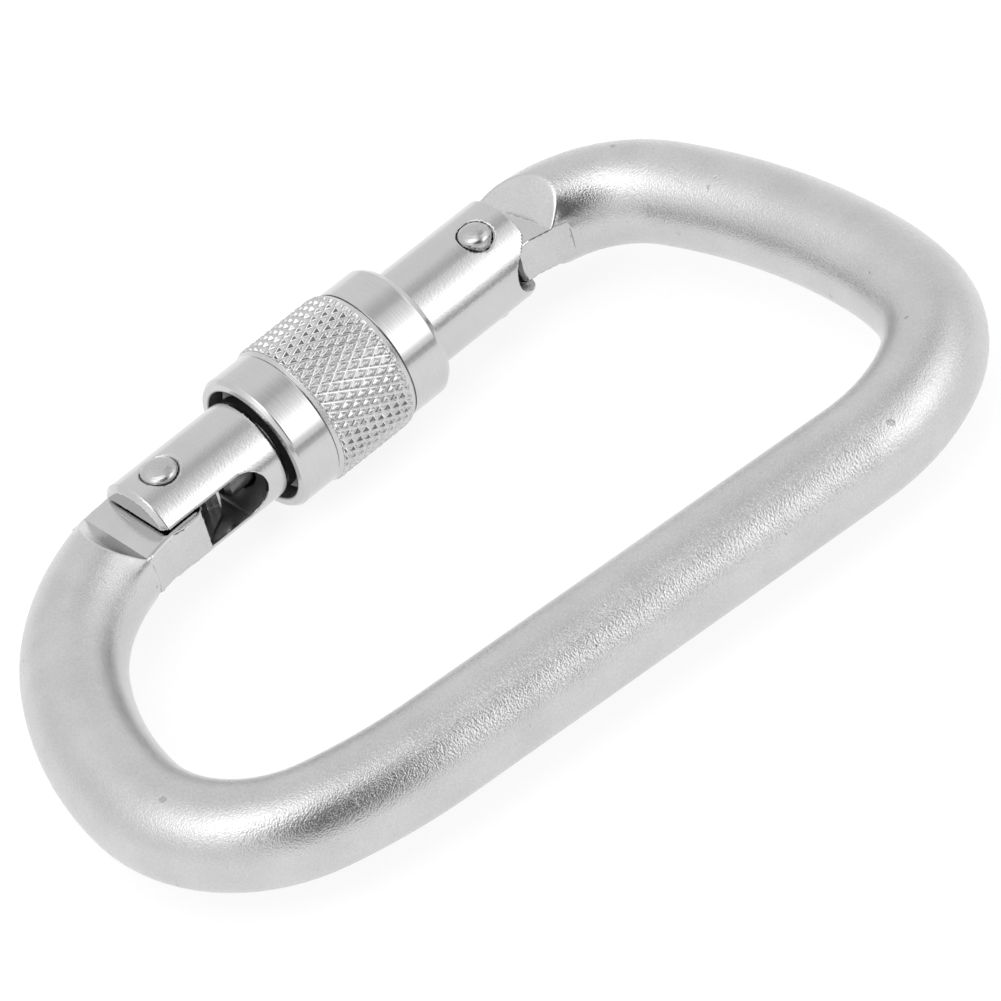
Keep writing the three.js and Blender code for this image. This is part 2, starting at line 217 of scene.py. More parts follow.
def surface(points, values, field):
    """A closed quad mesh on the zero level of a field sampled on a curved block of points."""
    inside = values < 0
    ni, nj, nk = values.shape
    count = np.zeros((ni - 1, nj - 1, nk - 1), np.int8)
    corners = [(a, b, c) for a in (0, 1) for b in (0, 1) for c in (0, 1)]
    for a, b, c in corners:
        count += inside[a : ni - 1 + a, b : nj - 1 + b, c : nk - 1 + c]
    active = (count > 0) & (count < 8)
    index = np.full(active.shape, -1, np.int64)
    index[active] = np.arange(active.sum())
    ci, cj, ck = np.nonzero(active)
    total = np.zeros((len(ci), 3))
    hits = np.zeros(len(ci))
    for a, b, c in corners:
        for axis in range(3):
            if (a, b, c)[axis]:
                continue
            step = [0, 0, 0]
            step[axis] = 1
            i0, j0, k0 = ci + a, cj + b, ck + c
            i1, j1, k1 = i0 + step[0], j0 + step[1], k0 + step[2]
            f0, f1 = values[i0, j0, k0], values[i1, j1, k1]
            cross = (f0 < 0) != (f1 < 0)
            t = np.where(cross, f0 / np.where(cross, f0 - f1, 1), 0)[:, None]
            p0, p1 = points[i0, j0, k0], points[i1, j1, k1]
            total += np.where(cross[:, None], p0 + (p1 - p0) * t, 0)
            hits += cross
    vertices = total / hits[:, None]

    faces = []
    for axis in range(3):
        b_axis, c_axis = (axis + 1) % 3, (axis + 2) % 3
        low = [slice(1, -1)] * 3
        high = [slice(1, -1)] * 3
        low[axis] = slice(None, -1)
        high[axis] = slice(1, None)
        start, end = inside[tuple(low)], inside[tuple(high)]
        where = np.array(np.nonzero(start != end))
        outward = start[tuple(where)]
        base = where.copy()
        base[b_axis] += 1
        base[c_axis] += 1
        quad = []
        for db, dc in ((-1, -1), (0, -1), (0, 0), (-1, 0)):
            cell = base.copy()
            cell[b_axis] += db
            cell[c_axis] += dc
            quad.append(index[tuple(cell)])
        quad = np.stack(quad, 1)
        quad[~outward] = quad[~outward][:, ::-1]
        faces.append(quad)
    faces = np.concatenate(faces)

    def slope(p, reach=0.02):
        parts = []
        for axis in range(3):
            delta = np.zeros(3)
            delta[axis] = reach
            parts.append((field(*(p + delta).T) - field(*(p - delta).T)) / (2 * reach))
        return np.stack(parts, 1)

    # a few steps down the slope put the points on the surface itself
    for _ in range(3):
        gradient = slope(vertices)
        square = np.maximum((gradient**2).sum(1), 0.05)
        move = np.clip(field(*vertices.T) / square, -0.12, 0.12)
        vertices = vertices - gradient * move[:, None]
    normals = slope(vertices)
    normals /= np.maximum(np.linalg.norm(normals, axis=1), 1e-9)[:, None]
    return vertices, faces, normals


def fillet(outline, radius):
    """A closed outline with each corner turned into a short arc: points and outward normals.

    The outline runs anticlockwise seen with x to the right and r up. A corner given as
    (x, r, radius) has its own rounding.
    """
    points, normals = [], []
    count = len(outline)
    for i in range(count):
        here = np.array(outline[i][:2], float)
        before = np.array(outline[i - 1][:2], float)
        after = np.array(outline[(i + 1) % count][:2], float)
        size = outline[i][2] if len(outline[i]) > 2 else radius
        back, ahead = before - here, after - here
        lb, la = np.linalg.norm(back), np.linalg.norm(ahead)
        back, ahead = back / lb, ahead / la
        n0 = np.array([-back[1], back[0]])
        n1 = np.array([ahead[1], -ahead[0]])
        cosine = np.clip(back @ ahead, -1, 1)
        half = math.acos(cosine) / 2
        reach = min(size / max(math.tan(half), 1e-6), 0.45 * lb, 0.45 * la)
        start, end = here + back * reach, here + ahead * reach
        steps = 5 if abs(math.pi - 2 * half) > 0.35 else 2
        for k in range(steps + 1):
            t = k / steps
            curve = (1 - t) ** 2 * start + 2 * t * (1 - t) * here + t**2 * end
            normal = (1 - t) * n0 + t * n1
            points.append(curve)
            normals.append(normal / max(np.linalg.norm(normal), 1e-9))
    return np.array(points), np.array(normals)


def turned(name, outline, y=0.0, radius=EDGE, sides=144, along="x", x=0.0):
    """A solid of revolution from a closed outline of (position, radius) corners."""
    rings, slopes = fillet(outline, radius)
    angle = np.linspace(0, 2 * math.pi, sides, endpoint=False)
    ca, sa = np.cos(angle)[None, :], np.sin(angle)[None, :]
    n = len(rings)
    a, r = rings[:, :1], rings[:, 1:]
    na, nr = slopes[:, :1], slopes[:, 1:]
    if along == "x":
        p = np.stack([a + 0 * ca, y + r * ca, r * sa], 2)
        v = np.stack([na + 0 * ca, nr * ca, nr * sa], 2)
    else:
        p = np.stack([x + r * ca, y + r * sa, a + 0 * ca], 2)
        v = np.stack([nr * ca, nr * sa, na + 0 * ca], 2)
    i, j = np.meshgrid(np.arange(n), np.arange(sides), indexing="ij")
    i2, j2 = (i + 1) % n, (j + 1) % sides
    quads = np.stack([i * sides + j, i2 * sides + j, i2 * sides + j2, i * sides + j2], 2)
    quads = quads.reshape(-1, 4)
    # the first and last points lie on the axis when the solid is closed there
    keep = (rings[quads[:, 0] // sides, 1] > 1e-6) | (rings[quads[:, 1] // sides, 1] > 1e-6)
    quads = quads[keep]
    points, vectors = p.reshape(-1, 3), v.reshape(-1, 3)
    return weld(name, points, quads, vectors)


def weld(name, points, quads, vectors):
    """Makes the object, with points that coincide joined and faces without area dropped."""
    keys = np.round(points, 5)
    _, first, where = np.unique(keys, axis=0, return_index=True, return_inverse=True)
    where = where.reshape(-1)
    joined = np.zeros((len(first), 3))
    np.add.at(joined, where, vectors)
    joined /= np.maximum(np.linalg.norm(joined, axis=1), 1e-9)[:, None]
    faces = []
    for quad in where[quads].tolist():
        clean = [v for k, v in enumerate(quad) if v != quad[k - 1]]
        if len(set(clean)) >= 3:
            faces.append(clean)
    mesh = bpy.data.meshes.new(name)
    mesh.from_pydata(to_row(points[first]).tolist(), [], faces)
    mesh.update()
    if volume(mesh) < 0:
        mesh.flip_normals()
    mesh.polygons.foreach_set("use_smooth", [True] * len(mesh.polygons))
    mesh.normals_split_custom_set_from_vertices(joined.tolist())
    piece = bpy.data.objects.new(name, mesh)
    bpy.context.scene.collection.objects.link(piece)
    return piece


def volume(mesh):
    """Six times the enclosed volume: below nought when the faces look inwards."""
    mesh.calc_loop_triangles()
    tri = np.empty(len(mesh.loop_triangles) * 3, np.int32)
    mesh.loop_triangles.foreach_get("vertices", tri)
    co = np.empty(len(mesh.vertices) * 3)
    mesh.vertices.foreach_get("co", co)
    t = co.reshape(-1, 3)[tri.reshape(-1, 3)]
    return float(np.einsum("ij,ij->i", t[:, 0], np.cross(t[:, 1], t[:, 2])).sum())


# ------------------------------------------------------------------ frame bar


def bar_route():
    """The bar's centre line as straight runs and arcs, from the nose tip to the tongue."""
    runs = [("line", (NOSE_TIP - 2, 0.0), (NOSE_STRAIGHT_END, 0.0), 0.0)]
    x, y, heading = NOSE_STRAIGHT_END, 0.0, 0.0
    for size, turn in BENDS:
        if turn == 0:
            nx, ny = x + size * math.cos(heading), y + size * math.sin(heading)
            runs.append(("line", (x, y), (nx, ny), heading))
        else:
            angle = math.radians(turn)
            cx, cy = x + size * math.sin(heading), y - size * math.cos(heading)
            end = heading - angle
            nx, ny = cx - size * math.sin(end), cy + size * math.cos(end)
            runs.append(("arc", (cx, cy), size, (heading, end)))
            heading = end
        x, y = nx, ny
    runs.append(("line", (x, y), (x + 1.2, y), 0.0))
    return runs


ROUTE = bar_route()


def route_distance(x, y):
    """Distance in the plane from the bar's centre line."""
    best = np.full(np.broadcast(x, y).shape, 1e9)
    for run in ROUTE:
        if run[0] == "line":
            (ax, ay), (bx, by) = run[1], run[2]
            dx, dy = bx - ax, by - ay
            t = np.clip(((x - ax) * dx + (y - ay) * dy) / (dx * dx + dy * dy), 0, 1)
            best = np.minimum(best, np.hypot(x - ax - t * dx, y - ay - t * dy))
        else:
            (cx, cy), size, (start, end) = run[1], run[2], run[3]
            middle = (start + end) / 2 + math.pi / 2
            off = np.arctan2(y - cy, x - cx) - middle
            off = np.abs((off + math.pi) % (2 * math.pi) - math.pi)
            near = np.abs(np.hypot(x - cx, y - cy) - size)
            best = np.where(off <= (start - end) / 2, np.minimum(best, near), best)
    return best


def outline_distance(x, y, corners):
    """Signed distance to a closed outline in the plane, negative inside."""
    best = np.full(np.broadcast(x, y).shape, 1e9)
    sign = np.ones(best.shape)
    for i in range(len(corners)):
        ax, ay = corners[i]
        bx, by = corners[i - 1]
        dx, dy = bx - ax, by - ay
        t = np.clip(((x - ax) * dx + (y - ay) * dy) / (dx * dx + dy * dy), 0, 1)
        best = np.minimum(best, np.hypot(x - ax - t * dx, y - ay - t * dy))
        above = (y >= ay) & (y < by) & (dx * (y - ay) > dy * (x - ax))
        below = (y < ay) & (y >= by) & (dx * (y - ay) < dy * (x - ax))
        sign = np.where(above | below, -sign, sign)
    return best * sign


def arc_points(cx, cy, radius, start, end, steps):
    angles = np.radians(np.linspace(start, end, steps + 1))
    return [(cx + radius * math.cos(a), cy + radius * math.sin(a)) for a in angles]


TONGUE_SIDE = [
    (3.9, -2.75),
    (2.9, -3.2),
    (1.8, -3.8),
    (1.1, -4.35),
    (0.6, -4.95),
    (0.1, -5.5),
    (-0.5, -5.85),
    (-2.5, -5.8),
    (-3.8, -5.5),
    (-5.7, -5.8),
    (-7.4, -6.15),
]
TONGUE = [
    (-9.5, 4.2),
    (-6.0, 4.6),
    *arc_points(0, 0, TONGUE_RADIUS, 95, -28, 23),
    *TONGUE_SIDE,
    (-7.6, -5.0),
    (-9.5, -4.0),
]
TONGUE_CUT = [(6.0, -2.75), *TONGUE_SIDE, (-7.4, -12.0), (6.0, -12.0)]
NOSE_SIDE = [(37.0, -12.0), (52.5, -12.0), (52.5, -5.4), (48.0, -4.1), (37.0, -4.1)]
PIN_REACH = SHANK + 0.3
NOTCH = [
    (NOSE_TIP - 3.0, -12.0),
    (46.7, -12.0),
    (46.7, -4.1),
    (LATCH_X + PIN_REACH, -2.2),
    *arc_points(LATCH_X, LATCH_Y, PIN_REACH, 0, 180, 16),
    (LATCH_X - PIN_REACH - 0.25, -3.0),
    (NOSE_TIP - 3.0, -3.0),
]


def frame_field(x, y, z):
    hinge_half = x < MIDDLE
    near_hinge = hinge_half & (y > GATE_SIDE)
    near_nose = (x > MIDDLE) & (y > GATE_SIDE)
    height = np.abs(z)
    bar = np.hypot(route_distance(x, y), z) - BAR
    plate = round_max(outline_distance(x, y, TONGUE), height - FLAT, PLATE_EDGE)
    solid = np.where(hinge_half, np.minimum(bar, plate), bar)
    solid = np.where(near_nose, round_max(solid, NOSE_TIP - x, TIP_EDGE), solid)

    drop, run = BAR - FLAT, TONGUE_FLAT_END - TONGUE_RAMP_TOP
    size = math.hypot(drop, run)
    hinge_ramp = ((x - TONGUE_FLAT_END) * drop + (height - FLAT) * run) / size
    run = NOSE_RAMP_TOP - NOSE_FLAT_END
    size = math.hypot(drop, run)
    along = (x - NOSE_FLAT_END) * math.cos(NOSE_RAMP_SKEW) + y * math.sin(NOSE_RAMP_SKEW)
    nose_ramp = (-along * drop + (height - FLAT) * run) / size
    ramp = np.where(hinge_half, hinge_ramp, nose_ramp)
    milled = np.minimum(np.minimum(height - FLAT, ramp), y - MILLED_END)
    solid = round_max(solid, milled, EDGE)

    # the tongue's inner side, the nose's inner side, and the notch for the latch pin
    for where, outline, edge in (
        (near_hinge, TONGUE_CUT, EDGE),
        (near_nose, NOSE_SIDE, SLOT_EDGE),
        (near_nose, NOTCH, PLATE_EDGE),
    ):
        cut = -outline_distance(x, y, outline)
        solid = np.where(where, round_max(solid, cut, edge), solid)
    return solid


def build_frame():
    stations = []
    total = 0.0
    for run in ROUTE:
        if run[0] == "line":
            length = math.dist(run[1], run[2])
        else:
            length = run[2] * (run[3][0] - run[3][1])
        stations.append((total, length, run))
        total += length
    # the points lie close together at both milled ends, and run on past the tongue
    fine_nose, fine_hinge = 20.0, 17.0
    extra = 5.6
    first = np.arange(0.9, fine_nose, FINE)
    plain = total - fine_nose - fine_hinge
    middle = np.linspace(fine_nose, total - fine_hinge, int(plain / COARSE))
    last = np.arange(total - fine_hinge + FINE, total + extra, FINE)
    along = np.concatenate([first, middle, last])
    base, left = [], []
    for s in along:
        for start, length, run in stations:
            if s <= start + length or run is ROUTE[-1]:
                t = s - start
                if run[0] == "line":
                    heading = run[3]
                    bx = run[1][0] + t * math.cos(heading)
                    by = run[1][1] + t * math.sin(heading)
                else:
                    heading = run[3][0] - t / run[2]
                    bx = run[1][0] - run[2] * math.sin(heading)
                    by = run[1][1] + run[2] * math.cos(heading)
                base.append((bx, by))
                left.append((-math.sin(heading), math.cos(heading)))
                break
    base, left = np.array(base), np.array(left)
    across = np.arange(-7.4, 7.6, FINE * 1.1)
    up = np.arange(-6.05, 6.1, FINE * 1.1)
    x = base[:, None, None, 0] + left[:, None, None, 0] * across[None, :, None]
    y = base[:, None, None, 1] + left[:, None, None, 1] * across[None, :, None]
    z = up[None, None, :]
    values = frame_field(x, y, z + 0 * x)
    points = np.stack(np.broadcast_arrays(x, y, z), -1)
    return make_object("frame_bar_body", *surface(points, values, frame_field))


# ------------------------------------------------------------------ gate


def gate_field(x, y, z):
    r = np.hypot(y, z)
    height = np.abs(z)
    around = np.arctan2(z, y) / (2 * math.pi)
    # turned down where the sleeve rides, then a thread that fades in and out at its ends
    turn = (x / THREAD_PITCH - around) % 1.0
    wave = np.clip(np.abs(turn - 0.5) * THREAD_FLANK - THREAD_CREST, 0, 1)
    last = np.clip((THREAD_END + RELIEF_STEP - x) / RELIEF_STEP, 0, 1)
    relief = np.clip((x - RELIEF_START) / RELIEF_STEP, 0, 1) * last
    thread = np.clip((x - THREAD_START) / THREAD_FADE, 0, 1) * last
    body = r - GATE + RELIEF * relief + THREAD_DEPTH * wave * thread
    ends = np.maximum(GATE_HINGE_END - x, x - GATE_NOSE_END)
    far_cheek = (x > NOSE_SLOT_START) & (z < 0)
    solid = round_max(body, ends, np.where(far_cheek, FAR_CHEEK_ROUND, END_EDGE))
    chamfer = (r - GATE + HINGE_END_CHAMFER + (GATE_HINGE_END - x)) / math.sqrt(2)
    solid = np.maximum(solid, chamfer)

    slot = np.maximum(height - SLOT, x - HINGE_SLOT_END)
    reach = np.maximum(x - (POCKET_END - SLOT), 0)
    pocket = np.maximum(np.hypot(reach, z) - SLOT, y - POCKET_DEPTH)
    bore = np.hypot(y - BORE_Y, z) - BORE_RADIUS
    bore = np.maximum(bore, np.maximum(x - BORE_END, BORE_START - x))
    solid = round_max(round_max(solid, -slot, SLOT_EDGE), -pocket, SLOT_EDGE)
    solid = np.maximum(solid, -bore)

    # the nose slot has a floor on the inner side, cut through only at the very end
    fork = np.maximum(height - SLOT, np.maximum(NOSE_SLOT_START - x, NOSE_SLOT_FLOOR - y))
    through = np.hypot(np.minimum(x - NOSE_CUT_CENTRE, 0), z) - SLOT
    solid = round_max(round_max(solid, -fork, SLOT_EDGE), -through, SLOT_EDGE)
    corner = (x - height - (GATE_NOSE_END - CHEEK_CHAMFER - SLOT)) / math.sqrt(2)
    corner = np.minimum(corner, np.minimum(CHEEK_CHAMFER_TOP - y, z - SLOT + PLATE_EDGE))
    solid = round_max(solid, corner, PLATE_EDGE)

    skin = np.sqrt(np.maximum(GATE**2 - y**2, 0)) - height
    for px, py, head in ((0.0, 0.0, HINGE_HEAD), (LATCH_X, LATCH_Y, LATCH_HEAD)):
        away = np.hypot(x - px, y - py)
        # the latch seat is only chamfered towards the inside of the D
        inward = np.clip(0.5 + (py - y) / head, 0, 1) if px > 0 else 1.0
        cone = (away - head - SEAT_CHAMFER * inward + skin) / math.sqrt(2)
        seat = np.maximum(np.minimum(away - head - SEAT_GAP, cone), SEAT_FLOOR - height)
        solid = np.maximum(solid, -seat)
        solid = np.maximum(solid, SHANK + SHANK_GAP - away)
    return solid


def build_gate():
    step = FINE * 1.08
    xs = np.arange(GATE_HINGE_END - 0.5, GATE_NOSE_END + 0.7, step)
    side = np.arange(-GATE - 0.45, GATE + 0.6, step)
    x, y, z = np.meshgrid(xs, side, side + 0.013, indexing="ij")
    values = gate_field(x, y, z)
    points = np.stack([x, y, z], -1)
    return make_object("gate_body", *surface(points, values, gate_field))


# ------------------------------------------------------------------ rivets, plunger, spring


def rivet_head(head, top, dome):
    """The outline of one domed head, from the shank out to the middle of the dome."""
    seat = SEAT_FLOOR + SHANK_GAP
    rim = top - dome
    outline = [(seat, SHANK, 0.02), (seat, head - 0.05, 0.05), (rim, head, 0.08)]
    for k in range(1, 6):
        a = math.radians(15 * k)
        outline.append((rim + dome * math.sin(a), head * math.cos(a), 0.3))
    return [*outline, (top, 0.0, 0.0)]


def build_rivet(name, x, y, near_head, far_head):
    """A straight shank with a domed head formed at each end."""
    far = [(-a, r, w) for a, r, w in reversed(far_head)]
    outline = (far + near_head)[::-1]
    return turned(name, outline, y=y, x=x, along="z", sides=72)


def build_plunger():
    outline = [
        (PLUNGER_TIP, 0.0, 0.0),
        (PLUNGER_TAIL, 0.0, 0.0),
        (PLUNGER_TAIL, PLUNGER_STEM, 0.1),
        (PLUNGER_SHOULDER, PLUNGER_STEM, 0.05),
        (PLUNGER_SHOULDER, PLUNGER, 0.1),
        (PLUNGER_TIP + 0.5, PLUNGER, 0.3),
        (PLUNGER_TIP, PLUNGER - 0.7, 0.3),
    ]
    return turned("plunger_pin", outline, y=BORE_Y, sides=64)


def build_spring():
    start = PLUNGER_SHOULDER + SPRING_ROOM + SPRING_WIRE
    end = BORE_END - SPRING_ROOM - SPRING_WIRE
    per_turn, ring = 28, 10
    count = SPRING_TURNS * per_turn
    t = np.arange(count + 1) / count
    # the last turn at each end lies nearly flat, as on a ground spring
    ease = np.clip(t * SPRING_TURNS, 0, 1) * 0.25 + np.clip(t * SPRING_TURNS - 1, 0, None)
    ease = ease / ease[-1]
    angle = 2 * math.pi * t * SPRING_TURNS
    along = start + (end - start) * ease
    across = BORE_Y + SPRING_COIL * np.cos(angle)
    centre = np.stack([along, across, SPRING_COIL * np.sin(angle)], 1)
    tangent = np.gradient(centre, axis=0)
    tangent /= np.linalg.norm(tangent, axis=1)[:, None]
    out = np.stack([0 * t, np.cos(angle), np.sin(angle)], 1)
    side = np.cross(tangent, out)
    turn = np.linspace(0, 2 * math.pi, ring, endpoint=False)
    normal = out[:, None] * np.cos(turn)[None, :, None] + side[:, None] * np.sin(turn)[None, :, None]
    points = (centre[:, None] + SPRING_WIRE * normal).reshape(-1, 3)
    faces = []
    for i in range(count):
        for j in range(ring):
            k = (j + 1) % ring
            faces.append([i * ring + j, i * ring + k, (i + 1) * ring + k, (i + 1) * ring + j])
    faces = np.array(faces)
    ends = [list(range(ring))[::-1], [count * ring + j for j in range(ring)]]
    mesh = bpy.data.meshes.new("gate_spring_coil")
    mesh.from_pydata(to_row(points).tolist(), [], faces.tolist() + ends)
    mesh.update()
    if volume(mesh) < 0:
        mesh.flip_normals()
    mesh.polygons.foreach_set("use_smooth", [True] * len(mesh.polygons))
    piece = bpy.data.objects.new("gate_spring_coil", mesh)
    bpy.context.scene.collection.objects.link(piece)
    return piece


# ------------------------------------------------------------------ locking sleeve


def build_core():
    outline = [
        (SLEEVE_START, MOUTH_BORE, 0.15),
        (SLEEVE_START, REAR_RING - 0.35, 0.2),
        (SLEEVE_START + 0.45, REAR_RING, 0.35),
        (GRIP_START - 0.2, REAR_RING, 0.06),
        (GRIP_START - 0.06, REAR_RING - 0.14, 0.04),
        (GRIP_START - 0.06, CORE, 0.03),
        (GRIP_END + 0.02, CORE, 0.02),
        (GRIP_END + 0.02, 7.0, 0.02),
        (SLEEVE_END - 0.3, 7.0, 0.05),
        (SLEEVE_END - 0.3, FRONT_BORE, 0.05),
        (FRONT_BORE_START, FRONT_BORE, 0.05),
        (FRONT_BORE_START - 0.6, CORE_BORE, 0.05),
        (SLEEVE_START + MOUTH_DEPTH + 0.5, CORE_BORE, 0.05),
        (SLEEVE_START + MOUTH_DEPTH, MOUTH_BORE, 0.05),
    ]
    return turned("sleeve_core_body", outline[::-1], sides=192)


def build_front_ring():
    bore = 7.02
    outline = [
        (GRIP_END + 0.06, bore, 0.02),
        (GRIP_END + 0.06, FRONT_RING, 0.06),
        (SLEEVE_END - 0.7, FRONT_RING, 0.6),
        (SLEEVE_END, FRONT_RING - 0.45, 0.25),
        (SLEEVE_END, bore, 0.08),
    ]
    return turned("sleeve_front_collar", outline[::-1], sides=192)


def knurl_cut(x, angle):
    """Depth of the diamond knurl at a place on the grip."""
    pitch = 2 * math.pi * GRIP / KNURL_TEETH
    lead = x * math.tan(KNURL_HELIX) / pitch
    cut = 0.0
    for hand in (1, -1):
        phase = (KNURL_TEETH * angle / (2 * math.pi) + hand * lead) % 1.0
        groove = np.clip(KNURL_GROOVE_FLOOR - np.abs(phase - 0.5) / KNURL_GROOVE, 0, 1)
        cut = np.maximum(cut, groove * groove * (3 - 2 * groove))
    return KNURL_DEPTH * cut


def grip_radius(x, angle):
    """The grip's radius: a shoulder at each end, and the knurl fading out towards them."""
    left = GRIP - GRIP_REAR_DROP + (x - GRIP_START)
    right = GRIP - GRIP_FRONT_DROP + (GRIP_END - x) * 0.6
    plain = np.minimum(np.minimum(left, right), GRIP)
    rear_fade = np.clip((x - GRIP_START - 0.25) / 0.4, 0, 1)
    front_fade = np.clip((GRIP_END - 0.45 - x) / 0.5, 0, 1)
    cut = GRIP - knurl_cut(x, angle) * (rear_fade * front_fade)
    return np.minimum(plain, cut)


def build_grip():
    per_tooth = 12
    sides = KNURL_TEETH * per_tooth
    rows = int((GRIP_END - GRIP_START) / 0.1)
    xs = np.linspace(GRIP_START, GRIP_END, rows)
    angle = np.linspace(0, 2 * math.pi, sides, endpoint=False)
    gx, ga = np.meshgrid(xs, angle, indexing="ij")

    def place(u, a):
        r = grip_radius(u, a)
        return np.stack([u, r * np.cos(a), r * np.sin(a)], -1)

    outer = place(gx, ga)
    e = 0.01
    du = place(gx + e, ga) - place(gx - e, ga)
    da = place(gx, ga + e * 0.1) - place(gx, ga - e * 0.1)
    normal = np.cross(du, da)
    normal /= np.maximum(np.linalg.norm(normal, axis=-1), 1e-9)[..., None]
    flip = (normal[..., 1] * np.cos(ga) + normal[..., 2] * np.sin(ga)) < 0
    normal[flip] *= -1
    # close the ring through its end faces and its bore
    end_rings = []
    for u, r, n in (
        (GRIP_END, GRIP - 0.6, (1, 0)),
        (GRIP_END, GRIP_BORE + 0.1, (1, 0)),
        (GRIP_END - 0.1, GRIP_BORE, (0, -1)),
        (GRIP_START + 0.1, GRIP_BORE, (0, -1)),
        (GRIP_START, GRIP_BORE + 0.1, (-1, 0)),
        (GRIP_START, GRIP - 0.55, (-1, 0)),
    ):
        p = np.stack([0 * angle + u, r * np.cos(angle), r * np.sin(angle)], -1)
        v = np.stack([0 * angle + n[0], n[1] * np.cos(angle), n[1] * np.sin(angle)], -1)
        end_rings.append((p, v))
    points = np.concatenate([outer] + [p[None] for p, _ in end_rings])
    vectors = np.concatenate([normal] + [v[None] for _, v in end_rings])
    n = len(points)
    i, j = np.meshgrid(np.arange(n), np.arange(sides), indexing="ij")
    i2, j2 = (i + 1) % n, (j + 1) % sides
    quads = np.stack([i * sides + j, i2 * sides + j, i2 * sides + j2, i * sides + j2], 2)
    points, vectors = points.reshape(-1, 3), vectors.reshape(-1, 3)
    return weld("sleeve_grip_knurled", points, quads.reshape(-1, 4), vectors)


# ------------------------------------------------------------------ materials


class Nodes:
    """Short hand for wiring a material."""

    def __init__(self, name):
        self.material = bpy.data.materials.new(name)
        self.material.use_nodes = True
        self.tree = self.material.node_tree
        self.shader = self.tree.nodes["Principled BSDF"]

    def wire(self, a, b):
        self.tree.links.new(a, b)

    def math(self, operation, a, b):
        node = self.tree.nodes.new("ShaderNodeMath")
        node.operation = operation
        for socket, value in zip(node.inputs, (a, b)):
            if isinstance(value, (int, float)):
                socket.default_value = value
            else:
                self.wire(value, socket)
        return node.outputs[0]

    def noise(self, scale, detail=3.0, stretch=(1, 1, 1), roughness=0.55, turn=(0, 0, 0)):
        mapping = self.tree.nodes.new("ShaderNodeMapping")
        mapping.inputs["Scale"].default_value = stretch
        mapping.inputs["Rotation"].default_value = turn
        self.wire(self.place(), mapping.inputs["Vector"])
        node = self.tree.nodes.new("ShaderNodeTexNoise")
        node.inputs["Scale"].default_value = scale
        node.inputs["Detail"].default_value = detail
        node.inputs["Roughness"].default_value = roughness
        self.wire(mapping.outputs[0], node.inputs["Vector"])
        return node.outputs["Fac"]

    def place(self):
        if not hasattr(self, "coord"):
            self.coord = self.tree.nodes.new("ShaderNodeTexCoord")
        return self.coord.outputs["Object"]

    def range(self, value, low, high, out_low, out_high):
        node = self.tree.nodes.new("ShaderNodeMapRange")
        node.inputs["From Min"].default_value = low
        node.inputs["From Max"].default_value = high
        node.inputs["To Min"].default_value = out_low
        node.inputs["To Max"].default_value = out_high
        self.wire(value, node.inputs["Value"])
        return node.outputs[0]

    def tint(self, value, dark, light):
        node = self.tree.nodes.new("ShaderNodeMix")
        node.data_type = "RGBA"
        node.inputs["A"].default_value = (*dark, 1)
        node.inputs["B"].default_value = (*light, 1)
        self.wire(value, node.inputs["Factor"])
        return node.outputs["Result"]

    def blend(self, colour, shade, amount):
        """Mixes a colour socket with one grey shade."""
        node = self.tree.nodes.new("ShaderNodeMix")
        node.data_type = "RGBA"
        node.inputs["B"].default_value = (shade, shade, shade, 1)
        self.wire(amount, node.inputs["Factor"])
        self.wire(colour, node.inputs["A"])
        return node.outputs["Result"]

    def from_hinge(self):
        """The three coordinates of a place, measured from the hinge rivet."""
        split = self.tree.nodes.new("ShaderNodeSeparateXYZ")
        self.wire(self.place(), split.inputs[0])
        x = self.math("SUBTRACT", split.outputs[0], HINGE[0])
        y = self.math("SUBTRACT", split.outputs[1], HINGE[1])
        return x, y, split.outputs[2]

    def gate_axis(self):
        """The place along the gate's axis, and the distance from it."""
        x, y, z = self.from_hinge()
        square = self.math("ADD", self.math("MULTIPLY", y, y), self.math("MULTIPLY", z, z))
        return x, self.math("SQRT", square, 0.0)

    def plain_bar(self):
        """One on the bar as it was drawn, nearly nought where it is milled at the gate's ends."""
        x, y, _ = self.from_hinge()
        hinge_side = self.range(x, -9.5 * MM, -11.5 * MM, 0.15, 1.0)
        nose_side = self.range(x, 52.5 * MM, 54.5 * MM, 0.15, 1.0)
        below = self.range(y, -6.5 * MM, -9.0 * MM, 0.15, 1.0)
        return self.math("MAXIMUM", below, self.math("MAXIMUM", hinge_side, nose_side))

    def inside_gate(self):
        """Where painted shade goes: one on the slot, pocket and bore walls inside the gate, nought
        on its outer skin.
        """
        x, radius = self.gate_axis()
        deep = self.range(radius, 5.65 * MM, 4.9 * MM, 0.0, 1.0)
        hinge_side = self.range(x, -3.4 * MM, -1.5 * MM, 0.0, 1.0)
        nose_side = self.range(x, 46.9 * MM, 45.9 * MM, 0.0, 1.0)
        return self.math("MULTIPLY", deep, self.math("MULTIPLY", hinge_side, nose_side))

    def inside_sleeve(self):
        """Where painted shade goes: one on the sleeve's bores, nought on the faces that show."""
        radius = self.gate_axis()[1]
        return self.range(radius, 6.95 * MM, 6.8 * MM, 0.0, 1.0)

    def bump(self, height, distance, below=None):
        node = self.tree.nodes.new("ShaderNodeBump")
        node.inputs["Strength"].default_value = 1.0
        node.inputs["Distance"].default_value = distance
        self.wire(height, node.inputs["Height"])
        if below is not None:
            self.wire(below, node.inputs["Normal"])
        return node.outputs[0]


